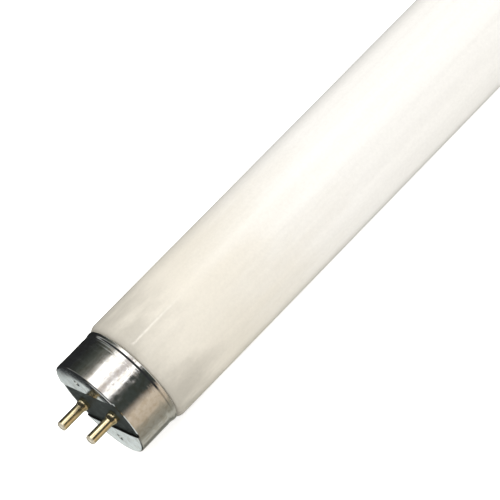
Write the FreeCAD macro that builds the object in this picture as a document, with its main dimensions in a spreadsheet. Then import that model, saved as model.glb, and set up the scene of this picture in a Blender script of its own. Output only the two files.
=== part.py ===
import FreeCAD, Part
import math
import os

import Sketcher
from FreeCAD import Vector

# Fluorescent tube with a two-pin cap at each end, in millimetres.
# Frame: X along the tube, Y along the line of the two pins, Z up, origin at the middle of the tube.

SHEET = "Sizes"

# How a sketch constraint names the points of its geometry, and the sketch's own origin and axes
START, END, CENTRE = range(1, 4)
V_AXIS, H_AXIS = range(-2, 0)
ORIGIN = H_AXIS

SIZES = [
    ("tube_diameter", 26.0, "outside of the glass"),
    ("face_span", 589.8, "cap face to cap face"),
    ("cap_step", 0.66, "how far the cap lies below the glass surface"),
    ("cap_wall", 0.5, "sheet thickness of the cap"),
    ("cap_length", 10.45, "cap face to its open edge"),
    ("cap_edge_radius", 0.4, "outer rounding between cap face and barrel"),
    ("cap_inner_radius", 0.15, "inner rounding between cap face and barrel"),
    ("lip_width", 0.75, "raised lip along the open edge"),
    ("lip_flare", 0.45, "slope from the barrel up to the lip"),
    ("lip_height", 0.15, "how far the lip stands out of the barrel"),
    ("lip_radius", 0.25, "rounding of the lip at the open edge"),
    ("groove_offset", 1.25, "open edge to the rolled groove"),
    ("groove_width", 1.3, "rolled groove along the barrel"),
    ("groove_slope", 0.5, "length of each flank of the rolled groove"),
    ("groove_depth", 0.06, "rolled groove, radially"),
    ("slot_width", 10.0, "slot across the cap face"),
    ("slot_overrun", 1.0, "slot outline beyond the barrel, so that it runs right across"),
    ("dimple_offset", 3.1, "edge of the slot to the middle of the punch mark"),
    ("dimple_radius", 1.0, "punch ball that stakes the cap to the plate"),
    ("dimple_depth", 0.35, "depth of the punch mark"),
    ("cement_thickness", 0.4, "cement between glass neck and cap"),
    ("cement_offset", 3.6, "open edge of the cap to the cement"),
    ("cement_width", 3.0, "cement ring along the tube"),
    ("neck_insert", 7.0, "glass inside the cap"),
    ("shoulder_tuck", 0.05, "start of the glass shoulder inside the cap edge"),
    ("shoulder_length", 1.75, "glass shoulder along the tube"),
    ("neck_rim_radius", 0.5, "fused edge at the end of the glass"),
    ("neck_rim_flat", 0.2, "flat of the fused edge"),
    ("stem_depth", 14.0, "depth of the glass stem funnel"),
    ("stem_clearance", 0.8, "lead wire to the funnel wall at its floor"),
    ("exhaust_diameter", 3.6, "sealed exhaust tube in the funnel"),
    ("exhaust_inset", 3.0, "end of the glass to the exhaust tip"),
    ("plate_thickness", 1.6, "insulating plate"),
    ("plate_clearance", 0.1, "plate to cap wall, and plate to punch marks"),
    ("plate_chamfer", 0.35, "plate edge that clears the cap's inner corner"),
    ("pin_spacing", 12.7, "between the two pins"),
    ("pin_diameter", 2.3, "contact pin"),
    ("pin_length", 7.1, "pin beyond the cap face"),
    ("pin_tip_radius", 0.55, "rounding of the pin tip"),
    ("pin_collar_diameter", 2.9, "collar at the foot of the pin"),
    ("pin_collar_height", 0.95, "straight part of the collar above the plate"),
    ("pin_neck_length", 0.8, "taper from the collar down to the pin"),
    ("pin_rivet_radius", 0.2, "rounding of the riveted end"),
    ("pin_shank_diameter", 2.0, "pin through the plate"),
    ("pin_shank_clearance", 0.05, "shank to its hole in the plate"),
    ("pin_rivet_diameter", 2.9, "riveted end behind the plate"),
    ("pin_rivet_height", 0.5, "riveted end behind the plate"),
    ("wire_diameter", 0.6, "lead wire"),
    ("wire_clearance", 0.05, "lead wire to the bore of its pin"),
    ("wire_gap", 6.2, "between the two lead wires at the stem"),
    ("wire_seal", 1.5, "lead wire sealed into the stem"),
    ("wire_bend_radius", 1.5, "bends of the lead wire"),
    ("wire_run_out", 0.4, "straight wire behind the rivet"),
    ("wire_slant", 7.0, "slanting wire along the tube, bends included"),
]


class Size:
    """A length that knows its number and the sheet expression that gives it."""

    def __init__(self, text, value):
        self.text = text
        self.value = value

    @staticmethod
    def of(other):
        return other if isinstance(other, Size) else Size(repr(float(other)), float(other))

    def __add__(self, other):
        other = Size.of(other)
        return Size("(%s + %s)" % (self.text, other.text), self.value + other.value)

    def __sub__(self, other):
        other = Size.of(other)
        return Size("(%s - %s)" % (self.text, other.text), self.value - other.value)

    def __mul__(self, other):
        other = Size.of(other)
        return Size("(%s * %s)" % (self.text, other.text), self.value * other.value)

    def __truediv__(self, other):
        other = Size.of(other)
        return Size("(%s / %s)" % (self.text, other.text), self.value / other.value)

    def __neg__(self):
        return Size("(-%s)" % self.text, -self.value)

    def root(self):
        return Size("sqrt(%s)" % self.text, math.sqrt(self.value))


ZERO = Size("0", 0.0)


class Line:
    """A straight step of an outline to (x, y)."""

    def __init__(self, x, y):
        self.x = x
        self.y = y


class Arc:
    """A round step of an outline to (x, y), turning left (+1) or right (-1)."""

    def __init__(self, x, y, radius, turn):
        self.x = x
        self.y = y
        self.radius = radius
        self.turn = turn


def make_sheet(doc):
    """Write every size to the sheet and return them by name."""
    sheet = doc.addObject("Spreadsheet::Sheet", SHEET)
    named = {}
    for row, (alias, number, meaning) in enumerate(SIZES, start=1):
        sheet.set("A%d" % row, alias)
        sheet.set("B%d" % row, str(number))
        sheet.set("C%d" % row, meaning)
        sheet.setAlias("B%d" % row, alias)
        named[alias] = Size("%s.%s" % (SHEET, alias), number)
    doc.recompute()
    return named


def plane_of(body, role):
    for feature in body.Origin.OriginFeatures:
        if feature.Role == role:
            return feature
    raise ValueError("no plane %s in %s" % (role, body.Name))


def new_sketch(body, name, role, shift=None):
    """Sketch on one of the body's own planes, moved along its own axes by bound sizes."""
    sketch = body.newObject("Sketcher::SketchObject", name)
    sketch.AttachmentSupport = (plane_of(body, role), [""])
    sketch.MapMode = "FlatFace"
    for axis, size in (shift or {}).items():
        sketch.setExpression("AttachmentOffset.Base.%s" % axis, size.text)
    return sketch


def pin_point(sketch, geo, end, x, y):
    """Hold one end of a piece of geometry at (x, y) from the sketch's origin."""
    for size, axis, kind in ((x, V_AXIS, "DistanceX"), (y, H_AXIS, "DistanceY")):
        if size is ZERO:
            sketch.addConstraint(Sketcher.Constraint("PointOnObject", geo, end, axis))
            continue
        index = sketch.addConstraint(
            Sketcher.Constraint(kind, ORIGIN, START, geo, end, size.value))
        sketch.setExpression("Constraints[%d]" % index, size.text)


def arc_between(start, end, radius, turn):
    """Arc of under half a turn from start to end; its own direction is always left."""
    chord = end - start
    middle = start + chord * 0.5
    reach = math.sqrt(max(radius ** 2 - chord.Length ** 2 / 4, 0.0))
    centre = middle + Vector(-chord.y, chord.x, 0).normalize() * reach * turn
    first, last = (start, end) if turn > 0 else (end, start)
    angles = [math.atan2(p.y - centre.y, p.x - centre.x) for p in (first, last)]
    return Part.ArcOfCircle(Part.Circle(centre, Vector(0, 0, 1), radius), angles[0], angles[1])


def draw(sketch, start, steps, closed=True):
    """Draw an outline of bound lines and arcs; a closed one returns to its start with a line."""
    path = list(steps)
    if closed:
        path.append(Line(start[0], start[1]))
    here = Vector(start[0].value, start[1].value, 0)
    joints = []
    for step in path:
        there = Vector(step.x.value, step.y.value, 0)
        if isinstance(step, Line):
            geo = sketch.addGeometry(Part.LineSegment(here, there), False)
            ends = (START, END)
        else:
            geo = sketch.addGeometry(arc_between(here, there, step.radius.value, step.turn), False)
            ends = (START, END) if step.turn > 0 else (END, START)
            index = sketch.addConstraint(Sketcher.Constraint("Radius", geo, step.radius.value))
            sketch.setExpression("Constraints[%d]" % index, step.radius.text)
        joints.append((geo, ends, step))
        here = there
    pin_point(sketch, joints[0][0], joints[0][1][0], start[0], start[1])
    for (geo, ends, step), (after, after_ends, _) in zip(joints, joints[1:]):
        sketch.addConstraint(Sketcher.Constraint("Coincident", geo, ends[1], after, after_ends[0]))
        pin_point(sketch, geo, ends[1], step.x, step.y)
    last, last_ends, last_step = joints[-1]
    if closed:
        first, first_ends, _ = joints[0]
        sketch.addConstraint(Sketcher.Constraint("Coincident", last, last_ends[1], first, first_ends[0]))
    else:
        pin_point(sketch, last, last_ends[1], last_step.x, last_step.y)
    return len(path)


def draw_circle(sketch, x, y, diameter):
    """Bound circle centred at (x, y)."""
    circle = Part.Circle(Vector(x.value, y.value, 0), Vector(0, 0, 1), diameter.value / 2)
    geo = sketch.addGeometry(circle, False)
    pin_point(sketch, geo, CENTRE, x, y)
    index = sketch.addConstraint(Sketcher.Constraint("Diameter", geo, diameter.value))
    sketch.setExpression("Constraints[%d]" % index, diameter.text)


def mirrored(start, steps, length):
    """The way back of an outline that is the same at both ends of a length."""
    points = [Line(start[0], start[1])] + list(steps)
    back = []
    for step, before in zip(reversed(points), reversed(points[:-1])):
        if isinstance(step, Arc):
            back.append(Arc(length - before.x, before.y, step.radius, step.turn))
        else:
            back.append(Line(length - before.x, before.y))
    return back


def revolve(body, sketch, name):
    """Turn a sketch fully about its own horizontal axis."""
    feature = body.newObject("PartDesign::Revolution", name)
    feature.Profile = sketch
    feature.ReferenceAxis = (sketch, ["H_Axis"])
    feature.Angle = 360.0
    return feature


def pocket(body, sketch, name, depth, before):
    """Cut a sketch towards +X by a bound depth and make sure that it removes material."""
    feature = body.newObject("PartDesign::Pocket", name)
    feature.Profile = sketch
    feature.setExpression("Length", depth.text)
    feature.Reversed = True
    body.Document.recompute()
    if feature.Shape.Volume >= before - 1e-6:
        raise ValueError("%s cuts nothing" % name)
    return feature


def new_body(doc, label):
    body = doc.addObject("PartDesign::Body", label)
    body.Label = label
    return body


def place(body, x, y, turn_axis):
    """Bind the body's place to the sheet; turn it half round an axis if one is given."""
    if turn_axis is not None:
        body.Placement = FreeCAD.Placement(Vector(0, 0, 0), FreeCAD.Rotation(turn_axis, 180))
    body.setExpression("Placement.Base.x", x.text)
    body.setExpression("Placement.Base.y", y.text)


doc = FreeCAD.newDocument("FluorescentTube")
s = make_sheet(doc)

# Sizes that follow from the named ones
tube_radius = s["tube_diameter"] / 2
cap_radius = tube_radius - s["cap_step"]
cap_inner = cap_radius - s["cap_wall"]
neck_radius = cap_inner - s["cement_thickness"]
glass_length = s["face_span"] - (s["cap_length"] - s["neck_insert"]) * 2
glass_half = glass_length / 2
slot_half = s["slot_width"] / 2
dimple_place = slot_half + s["dimple_offset"]
pin_radius = s["pin_diameter"] / 2
bore_diameter = s["wire_diameter"] + s["wire_clearance"] * 2
end_x = s["face_span"] / 2
tip_x = end_x + s["pin_length"]
plate_face = s["pin_length"] + s["cap_wall"]
plate_back = plate_face + s["plate_thickness"]
rivet_back = plate_back + s["pin_rivet_height"]
stem_floor = s["pin_length"] + s["cap_length"] - s["neck_insert"] + s["stem_depth"]

LEFT = "left"
RIGHT = "right"
FRONT = "front"
REAR = "rear"
TURN_OF_END = {LEFT: None, RIGHT: Vector(0, 0, 1)}
TURN_OF_WIRE = {
    (LEFT, REAR): None,
    (LEFT, FRONT): Vector(1, 0, 0),
    (RIGHT, FRONT): Vector(0, 0, 1),
    (RIGHT, REAR): Vector(0, 1, 0),
}
parts = []


def glass_tube():
    """Sealed glass bulb, drawn from its axis at the exhaust tip out to the full diameter."""
    body = new_body(doc, "glass_tube")
    rim = s["neck_rim_radius"]
    exhaust = s["exhaust_diameter"] / 2
    floor_radius = s["wire_gap"] / 2 + s["wire_diameter"] / 2 + s["stem_clearance"]
    mouth = neck_radius - rim * 2 - s["neck_rim_flat"]
    neck_end = s["neck_insert"] - s["shoulder_tuck"]
    rise = tube_radius - neck_radius
    run = s["shoulder_length"]
    shoulder = run * run / (rise * 2) + rise / 2
    start = (s["exhaust_inset"], ZERO)
    steps = [
        Arc(s["exhaust_inset"] + exhaust, exhaust, exhaust, -1),
        Line(s["stem_depth"], exhaust),
        Line(s["stem_depth"], floor_radius),
        Line(rim, mouth),
        Arc(ZERO, mouth + rim, rim, -1),
        Line(ZERO, neck_radius - rim),
        Arc(rim, neck_radius, rim, -1),
        Line(neck_end, neck_radius),
        Arc(neck_end + run, tube_radius, shoulder, -1),
    ]
    back = mirrored(start, steps, glass_length)
    across = Line(glass_length - steps[-1].x, tube_radius)
    sketch = new_sketch(body, "glass_profile", "XY_Plane", {"x": -glass_half})
    draw(sketch, start, steps + [across] + back)
    blown = revolve(body, sketch, "glass_blown")
    doc.recompute()
    seals = new_sketch(body, "glass_seals", "YZ_Plane", {"z": -glass_half})
    draw_circle(seals, s["wire_gap"] / 2, ZERO, s["wire_diameter"])
    draw_circle(seals, -(s["wire_gap"] / 2), ZERO, s["wire_diameter"])
    sealed = pocket(body, seals, "glass_lead_seals", s["stem_depth"] + s["wire_seal"], blown.Shape.Volume)
    both = body.newObject("PartDesign::Mirrored", "glass_lead_seals_both")
    both.Originals = [sealed]
    both.MirrorPlane = (plane_of(body, "YZ_Plane"), [""])
    body.Tip = both
    return body


def cap_shell(end):
    """Drawn cap: slot right across the face, rolled groove, raised lip, two punch marks."""
    body = new_body(doc, end + "_cap_shell")
    wall = s["cap_wall"]
    edge = s["cap_edge_radius"]
    inner_edge = s["cap_inner_radius"]
    length = s["cap_length"]
    lip_start = length - s["lip_width"]
    lip_top = cap_radius + s["lip_height"]
    lip_round = s["lip_radius"]
    groove_end = length - s["groove_offset"]
    groove_start = groove_end - s["groove_width"]
    groove_floor = cap_radius - s["groove_depth"]
    start = (ZERO, ZERO)
    steps = [
        Line(ZERO, cap_radius - edge),
        Arc(edge, cap_radius, edge, -1),
        Line(groove_start, cap_radius),
        Line(groove_start + s["groove_slope"], groove_floor),
        Line(groove_end - s["groove_slope"], groove_floor),
        Line(groove_end, cap_radius),
        Line(lip_start - s["lip_flare"], cap_radius),
        Line(lip_start, lip_top),
        Line(length - lip_round, lip_top),
        Arc(length, lip_top - lip_round, lip_round, -1),
        Line(length, cap_inner),
        Line(groove_end, cap_inner),
        Line(groove_end - s["groove_slope"], groove_floor - wall),
        Line(groove_start + s["groove_slope"], groove_floor - wall),
        Line(groove_start, cap_inner),
        Line(wall + inner_edge, cap_inner),
        Arc(wall, cap_inner - inner_edge, inner_edge, 1),
        Line(wall, ZERO),
    ]
    sketch = new_sketch(body, end + "_cap_profile", "XY_Plane")
    draw(sketch, start, steps)
    drawn = revolve(body, sketch, end + "_cap_drawn")
    doc.recompute()

    slot_end = cap_radius + s["slot_overrun"]
    opening = new_sketch(body, end + "_cap_slot_outline", "YZ_Plane")
    draw(opening, (slot_end, -slot_half), [
        Line(slot_end, slot_half),
        Line(-slot_end, slot_half),
        Line(-slot_end, -slot_half),
    ])
    slotted = pocket(body, opening, end + "_cap_slot", wall, drawn.Shape.Volume)

    ball = s["dimple_radius"]
    depth = s["dimple_depth"]
    mouth = (ball * ball - (ball - depth) * (ball - depth)).root()
    swell = ball + wall
    swell_mouth = (swell * swell - (swell - depth) * (swell - depth)).root()
    marks = []
    for name, kind, foot, radius, reach in (
            ("_cap_swell", "PartDesign::Revolution", wall, swell, swell_mouth),
            ("_cap_punch", "PartDesign::Groove", ZERO, ball, mouth)):
        outline = new_sketch(body, end + name + "_outline", "XZ_Plane", {"y": dimple_place})
        draw(outline, (foot, ZERO), [Line(foot, reach), Arc(foot + depth, ZERO, radius, -1)])
        mark = body.newObject(kind, end + name)
        mark.Profile = outline
        mark.ReferenceAxis = (outline, ["H_Axis"])
        mark.Angle = 360.0
        doc.recompute()
        marks.append(mark)
    if not marks[0].Shape.Volume > slotted.Shape.Volume:
        raise ValueError("punch mark adds nothing inside")
    if not marks[1].Shape.Volume < marks[0].Shape.Volume:
        raise ValueError("punch mark cuts nothing outside")
    both = body.newObject("PartDesign::Mirrored", end + "_cap_punch_both")
    both.Originals = marks
    both.MirrorPlane = (plane_of(body, "XY_Plane"), [""])
    body.Tip = both
    return body


def insulator(end):
    """Round plate behind the cap's face, with two pin holes and two hollows for the punch marks."""
    body = new_body(doc, end + "_insulator")
    face = s["cap_wall"]
    back = face + s["plate_thickness"]
    radius = cap_inner - s["plate_clearance"]
    chamfer = s["plate_chamfer"]
    sketch = new_sketch(body, end + "_plate_profile", "XY_Plane")
    draw(sketch, (face, ZERO), [
        Line(face, radius - chamfer),
        Line(face + chamfer, radius),
        Line(back, radius),
        Line(back, ZERO),
    ])
    disc = revolve(body, sketch, end + "_plate_disc")
    doc.recompute()
    holes = new_sketch(body, end + "_plate_hole_outline", "YZ_Plane")
    hole = s["pin_shank_diameter"] + s["pin_shank_clearance"] * 2
    draw_circle(holes, s["pin_spacing"] / 2, ZERO, hole)
    draw_circle(holes, -(s["pin_spacing"] / 2), ZERO, hole)
    drilled = pocket(body, holes, end + "_plate_holes", back, disc.Shape.Volume)

    clearance = s["plate_clearance"]
    radius = s["dimple_radius"] + s["cap_wall"] + clearance
    depth = s["dimple_depth"] + clearance
    mouth = (radius * radius - (radius - depth) * (radius - depth)).root()
    outline = new_sketch(body, end + "_plate_hollow_outline", "XZ_Plane", {"y": dimple_place})
    draw(outline, (face, ZERO), [Line(face, mouth), Arc(face + depth, ZERO, radius, -1)])
    hollow = body.newObject("PartDesign::Groove", end + "_plate_hollow")
    hollow.Profile = outline
    hollow.ReferenceAxis = (outline, ["H_Axis"])
    hollow.Angle = 360.0
    doc.recompute()
    if not hollow.Shape.Volume < drilled.Shape.Volume:
        raise ValueError("hollow cuts nothing")
    both = body.newObject("PartDesign::Mirrored", end + "_plate_hollow_both")
    both.Originals = [hollow]
    both.MirrorPlane = (plane_of(body, "XY_Plane"), [""])
    body.Tip = both
    return body


def contact_pin(end, side):
    """Hollow pin: rounded tip at the origin, neck and collar, shank and riveted end behind."""
    body = new_body(doc, "%s_%s_pin" % (end, side))
    tip = s["pin_tip_radius"]
    collar = s["pin_collar_diameter"] / 2
    round_off = s["pin_rivet_radius"]
    shank = s["pin_shank_diameter"] / 2
    rivet = s["pin_rivet_diameter"] / 2
    collar_start = plate_face - s["pin_collar_height"]
    bore = bore_diameter / 2
    sketch = new_sketch(body, body.Name + "_profile", "XY_Plane")
    draw(sketch, (ZERO, bore), [
        Line(ZERO, pin_radius - tip),
        Arc(tip, pin_radius, tip, -1),
        Line(collar_start - s["pin_neck_length"], pin_radius),
        Line(collar_start, collar),
        Line(plate_face, collar),
        Line(plate_face, shank),
        Line(plate_back, shank),
        Line(plate_back, rivet),
        Line(rivet_back - round_off, rivet),
        Arc(rivet_back, rivet - round_off, round_off, -1),
        Line(rivet_back, bore),
    ])
    revolve(body, sketch, body.Name + "_turned")
    return body


def lead_wire(end, side):
    """Wire from the pin tip through the bore, slanting in to the seal in the glass stem."""
    body = new_body(doc, "%s_%s_lead" % (end, side))
    outer = s["pin_spacing"] / 2
    inner = s["wire_gap"] / 2
    drop = outer - inner
    run = s["wire_slant"]
    bend_start = rivet_back + s["wire_run_out"]
    bend = s["wire_bend_radius"]
    reach = (run * run + drop * drop).root()
    # Tangent length of each bend, from the half angle between the straight and the slant
    tangent = bend * drop / (reach + run)
    along = tangent * run / reach
    down = tangent * drop / reach
    spine = new_sketch(body, body.Name + "_route", "XY_Plane")
    count = draw(spine, (ZERO, outer), [
        Line(bend_start, outer),
        Arc(bend_start + tangent + along, outer - down, bend, -1),
        Line(bend_start + tangent + run - along, inner + down),
        Arc(bend_start + run + tangent * 2, inner, bend, 1),
        Line(stem_floor + s["wire_seal"], inner),
    ], closed=False)
    section = new_sketch(body, body.Name + "_section", "YZ_Plane")
    draw_circle(section, outer, ZERO, s["wire_diameter"])
    doc.recompute()
    wire = body.newObject("PartDesign::AdditivePipe", body.Name + "_drawn")
    wire.Profile = section
    wire.Spine = (spine, ["Edge%d" % (i + 1) for i in range(count)])
    return body


def cement(end):
    """Cement ring that fills the gap between the glass neck and the cap."""
    body = new_body(doc, end + "_cement")
    far = s["cap_length"] - s["cement_offset"]
    near = far - s["cement_width"]
    sketch = new_sketch(body, end + "_cement_profile", "XY_Plane")
    draw(sketch, (near, neck_radius), [
        Line(near, cap_inner),
        Line(far, cap_inner),
        Line(far, neck_radius),
    ])
    revolve(body, sketch, end + "_cement_ring")
    return body


tube = glass_tube()
place(tube, ZERO, ZERO, None)
parts.append(tube)
for end, sign in ((LEFT, -1), (RIGHT, 1)):
    for piece in (cap_shell(end), insulator(end), cement(end)):
        place(piece, end_x * sign, ZERO, TURN_OF_END[end])
        parts.append(piece)
    for side, way in ((FRONT, -1), (REAR, 1)):
        pin = contact_pin(end, side)
        place(pin, tip_x * sign, s["pin_spacing"] / 2 * way, TURN_OF_END[end])
        parts.append(pin)
        lead = lead_wire(end, side)
        place(lead, tip_x * sign, ZERO, TURN_OF_WIRE[(end, side)])
        parts.append(lead)

doc.recompute()
for item in doc.Objects:
    if "Invalid" in item.State or "Error" in item.State:
        raise ValueError("%s is %s" % (item.Label, item.State))
for piece in parts:
    if piece.Shape.isNull() or not piece.Shape.isValid():
        raise ValueError("%s has no valid shape" % piece.Label)

os.makedirs("parts", exist_ok=True)
for piece in parts:
    piece.Shape.exportStep("parts/%s.step" % piece.Label)
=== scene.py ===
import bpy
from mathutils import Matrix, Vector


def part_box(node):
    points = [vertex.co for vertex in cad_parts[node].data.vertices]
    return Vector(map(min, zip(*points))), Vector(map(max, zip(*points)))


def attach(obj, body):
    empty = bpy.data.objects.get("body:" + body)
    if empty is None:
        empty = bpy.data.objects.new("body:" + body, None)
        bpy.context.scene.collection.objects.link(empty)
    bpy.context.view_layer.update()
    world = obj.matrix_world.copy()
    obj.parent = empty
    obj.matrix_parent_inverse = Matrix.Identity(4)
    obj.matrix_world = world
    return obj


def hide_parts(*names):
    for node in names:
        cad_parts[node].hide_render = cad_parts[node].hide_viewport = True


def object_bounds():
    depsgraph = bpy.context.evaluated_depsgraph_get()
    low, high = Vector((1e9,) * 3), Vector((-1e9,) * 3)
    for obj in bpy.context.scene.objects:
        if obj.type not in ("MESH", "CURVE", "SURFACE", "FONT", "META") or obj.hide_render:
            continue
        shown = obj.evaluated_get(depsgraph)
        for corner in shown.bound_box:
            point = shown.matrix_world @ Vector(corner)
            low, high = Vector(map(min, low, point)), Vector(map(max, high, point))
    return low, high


bl_info = {
    "name": "Fluorescent Tube",
    "version": (1, 0, 0),
    "blender": (4, 5, 0),
    "location": "View3D > Sidebar > Tube",
    "description": "Builds the looks of a coated glass lamp tube with two-pin caps around its CAD frame",
    "category": "Add Mesh",
}

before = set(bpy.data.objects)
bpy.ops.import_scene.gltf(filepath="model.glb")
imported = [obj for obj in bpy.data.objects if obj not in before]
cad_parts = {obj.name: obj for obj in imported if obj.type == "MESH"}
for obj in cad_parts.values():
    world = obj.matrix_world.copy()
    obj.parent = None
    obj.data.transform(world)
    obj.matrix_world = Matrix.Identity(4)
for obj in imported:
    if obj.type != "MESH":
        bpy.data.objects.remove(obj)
CAD_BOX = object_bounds()

import math

import bmesh
import bpy
from bpy.props import FloatProperty, FloatVectorProperty, PointerProperty
from mathutils import Quaternion, Vector, noise

BODY = "root"
MM = 0.001

# Profiles are drawn from an end of the tube inwards; this sign turns them to either end
ENDS = {"left": 1.0, "right": -1.0}
# Side of the axis on which each pin of an end stands
SIDES = {"front": -1.0, "rear": 1.0}

# How finely round forms are divided
GLASS_STEPS = 192
PIN_STEPS = 72
FLAP_STEPS = 180
FLAP_ROWS = 44
SLOT_STEPS = 36
BARREL_STEP = 0.2 * MM
CORNER_EASE = 0.05 * MM
SHARP_ANGLE = math.radians(32)

# Small knocks on the barrel: distance from the face, angle about the axis
DENTS = ((6.9 * MM, math.radians(154)), (2.0 * MM, math.radians(156)))

# Unevenness of the barrel: length of a wave, waves about the axis, and the smooth strip at both edges
WAVE_LENGTH = 5.0 * MM
WAVE_TURNS = 2.6
WAVE_FADE = 1.0 * MM
# Keeps the two caps from having the same unevenness
WAVE_SEEDS = {"left": 0.0, "right": 7.3}
# Slack in telling the barrel from its rounded edge
ROUND_OFF = 0.01 * MM

# Materials of a cap in the order of its list
# The third colours the walls of the slot near black: painted shade.
BARREL, FACE, CUT_SHADE = range(3)
# Parts of a full ring of the cap in order about the axis: two flaps and the two ends of the slot
UPPER, FRONT_GAP, LOWER, REAR_GAP = range(4)

# Light and dark that the metal mirrors about the tube: degrees up from the front horizon, colour
ROOM_BANDS = (
    (-180, (0.018, 0.020, 0.019)), (-154, (0.02, 0.022, 0.02)), (-149, (0.42, 0.42, 0.38)),
    (-134, (0.34, 0.34, 0.30)), (-127, (0.16, 0.16, 0.14)), (-118, (0.20, 0.20, 0.17)),
    (-109, (0.46, 0.45, 0.39)), (-98, (0.46, 0.45, 0.39)), (-86, (0.27, 0.26, 0.215)),
    (-62, (0.31, 0.285, 0.225)), (-48, (0.55, 0.46, 0.35)), (-24, (0.66, 0.56, 0.44)),
    (-13, (0.28, 0.24, 0.20)), (-3, (0.042, 0.05, 0.044)), (20, (0.042, 0.05, 0.044)),
    (28, (0.22, 0.21, 0.20)), (34, (1.6, 1.58, 1.55)), (44, (1.6, 1.58, 1.55)),
    (48, (0.66, 0.605, 0.58)), (57, (0.66, 0.605, 0.58)), (62, (1.6, 1.58, 1.55)),
    (80, (1.6, 1.58, 1.55)), (86, (0.9, 0.87, 0.82)), (92, (0.40, 0.38, 0.34)),
    (99, (0.155, 0.155, 0.14)), (109, (0.078, 0.085, 0.07)), (120, (0.05, 0.056, 0.048)),
    (131, (0.033, 0.037, 0.033)), (146, (0.02, 0.021, 0.022)),
)
ROOM_DARK = (0.03, 0.032, 0.034)
ROOM_PALE = (0.85, 0.87, 0.86)
ROOM_LAMP = (12.0, 11.6, 11.0)
SCREEN_DIM = (0.62, 0.66, 0.64)
SCREEN_BRIGHT = (0.92, 0.97, 0.95)
# Share of the pale glow overhead, and of the dark end of the room that the table covers
GLOW_SHARE = 0.6
TABLE_SHARE = 0.6
# Direction from the tube to the screen behind it: how far back and how far down
SCREEN_BACK = 0.8735
SCREEN_DOWN = 0.487
# Share of the fill light on the far side of the tube
FAR_FILL = 0.55
# Floor in metres, and the camera's sensor in millimetres
FLOOR_WIDTH = 24.0
SENSOR_WIDTH = 36.0


def reach_from_axis(node):
    """Largest distance of a CAD node from the tube's axis."""
    return max(math.hypot(v.co.y, v.co.z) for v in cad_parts[node].data.vertices)


def low_x(node):
    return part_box(node)[0].x


def high_x(node):
    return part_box(node)[1].x


def length_prop(name, description, default):
    return FloatProperty(
        name=name, description=description, default=default, min=0.0,
        precision=5, subtype="DISTANCE", unit="LENGTH")


def colour_prop(name, description, default):
    return FloatVectorProperty(
        name=name, description=description, default=default, min=0.0, max=1.0,
        size=3, subtype="COLOR")


def angle_prop(name, description, default):
    return FloatProperty(
        name=name, description=description, default=default, subtype="ANGLE", unit="ROTATION")


def strength_prop(name, description, default):
    return FloatProperty(name=name, description=description, default=default, min=0.0)


def place_prop(name, description, default):
    return FloatVectorProperty(
        name=name, description=description, default=default, size=3,
        precision=6, subtype="TRANSLATION", unit="LENGTH")


class TubeGlassSettings(bpy.types.PropertyGroup):
    """Sizes and colours of the glass bulb."""
    radius: length_prop("Radius", "Outside of the glass", reach_from_axis("glass_tube"))
    end_x: length_prop("End", "Middle of the tube to the end of the glass", high_x("glass_tube"))
    neck_radius: length_prop("Neck radius", "Glass inside the cap", 11.44 * MM)
    neck_length: length_prop("Neck length", "End of the glass to its shoulder", 6.95 * MM)
    shoulder_length: length_prop("Shoulder", "Rounded step up to the full radius", 1.75 * MM)
    rim_radius: length_prop("Rim", "Fused edge at the end of the glass", 0.5 * MM)
    rim_flat: length_prop("Rim flat", "Flat of the fused edge", 0.2 * MM)
    stem_depth: length_prop("Stem depth", "Depth of the stem funnel", 14.0 * MM)
    stem_floor_radius: length_prop("Stem floor", "Funnel at its floor", 4.2 * MM)
    exhaust_radius: length_prop("Exhaust radius", "Sealed exhaust tube in the funnel", 1.8 * MM)
    exhaust_inset: length_prop("Exhaust inset", "End of the glass to the exhaust tip", 3.0 * MM)
    # Greyer ends and a darker band next to the caps: partly real end darkening, partly painted shade.
    end_fade: length_prop("End fade", "How far the greyer ends reach along the glass", 70.0 * MM)
    cap_shade_fade: length_prop("Edge fade", "End of the glass to where the darkest coating begins", 22.0 * MM)
    cap_shade_full: length_prop("Edge full", "End of the glass to where the coating is darkest", 6.0 * MM)
    ragged: length_prop("Ragged", "Unevenness of the coating's borders", 5.0 * MM)
    coating: colour_prop("Coating", "White powder under the glass", (0.861, 0.848, 0.818))
    end_tint_and_shade: colour_prop("End tint", "Coating towards the caps", (0.757, 0.718, 0.635))
    # Darkest tint next to the caps: painted shade over some real end darkening.
    cap_edge_tint_and_shade: colour_prop("Edge tint", "Thinner coating right at the caps", (0.53, 0.502, 0.44))


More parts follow.
